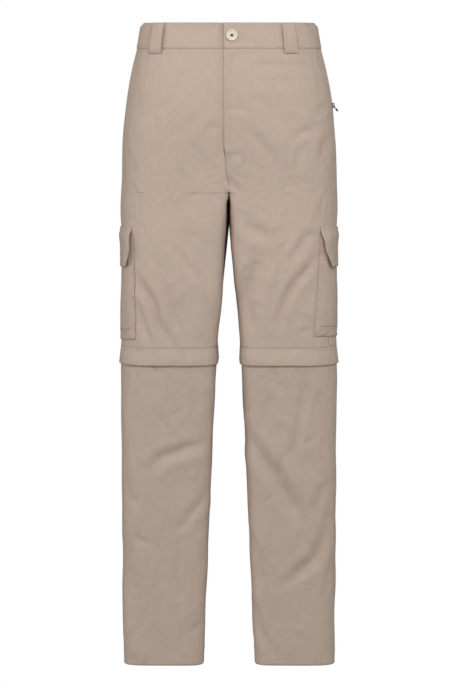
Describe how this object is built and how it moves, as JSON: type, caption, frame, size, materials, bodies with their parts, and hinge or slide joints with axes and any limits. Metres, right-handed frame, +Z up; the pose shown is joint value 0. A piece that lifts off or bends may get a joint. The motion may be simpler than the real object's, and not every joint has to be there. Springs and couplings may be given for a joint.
{
  "type": "convertible trousers",
  "caption": "Long cargo trousers with a knee band over the zip that frees each lower leg, flapped thigh pockets, belt loops and a waist button.",
  "frame": {"origin": "centre of the waist opening, at half the height of the waistband", "axes": "+Z up to the waist opening, -Y to the front, +X to the wearer's left"},
  "size_m": [0.362, 0.26, 1.058],
  "materials": {
    "cloth": "matte plain-woven light khaki cloth",
    "zip_tape": "matte woven tape",
    "metal": "dull lacquered die-cast metal",
    "dark_trim": "matte dark brown",
    "button": "semi-matte cream resin"
  },
  "bodies": {
    "garment": {"waistband_left": "cloth", "waistband_right": "cloth", "belt_loop_front_left": "cloth", "belt_loop_front_right": "cloth", "belt_loop_back_left": "cloth", "belt_loop_back_right": "cloth", "belt_loop_centre_back": "cloth", "front_left": "cloth", "front_right": "cloth", "back_left": "cloth", "back_right": "cloth", "fly_shield": "cloth", "shin_left": "cloth", "shin_right": "cloth", "calf_left": "cloth", "calf_right": "cloth", "knee_band_left": "cloth", "knee_band_right": "cloth", "knee_zip_left": "zip_tape", "knee_zip_right": "zip_tape", "knee_slider_left": "metal", "knee_slider_right": "metal", "cargo_pocket_left": "cloth", "cargo_pocket_right": "cloth", "cargo_gusset_left": "cloth", "cargo_gusset_right": "cloth", "cargo_flap_left": "cloth", "cargo_flap_right": "cloth", "pocket_label": "dark_trim", "side_zip_tape": "zip_tape", "side_zip_slider": "metal", "waist_button": "button"},
    "pull": {"side_zip_pull": "metal", "side_zip_grip": "dark_trim"}
  },
  "joints": [
    {"name": "pull_hinge", "type": "hinge", "parent": "garment", "child": "pull", "pos_m": [0.16909, -0.03832, -0.11263], "axis": [-0.1273, -0.9752, -0.181], "range_deg": [-26, 120]}
  ]
}
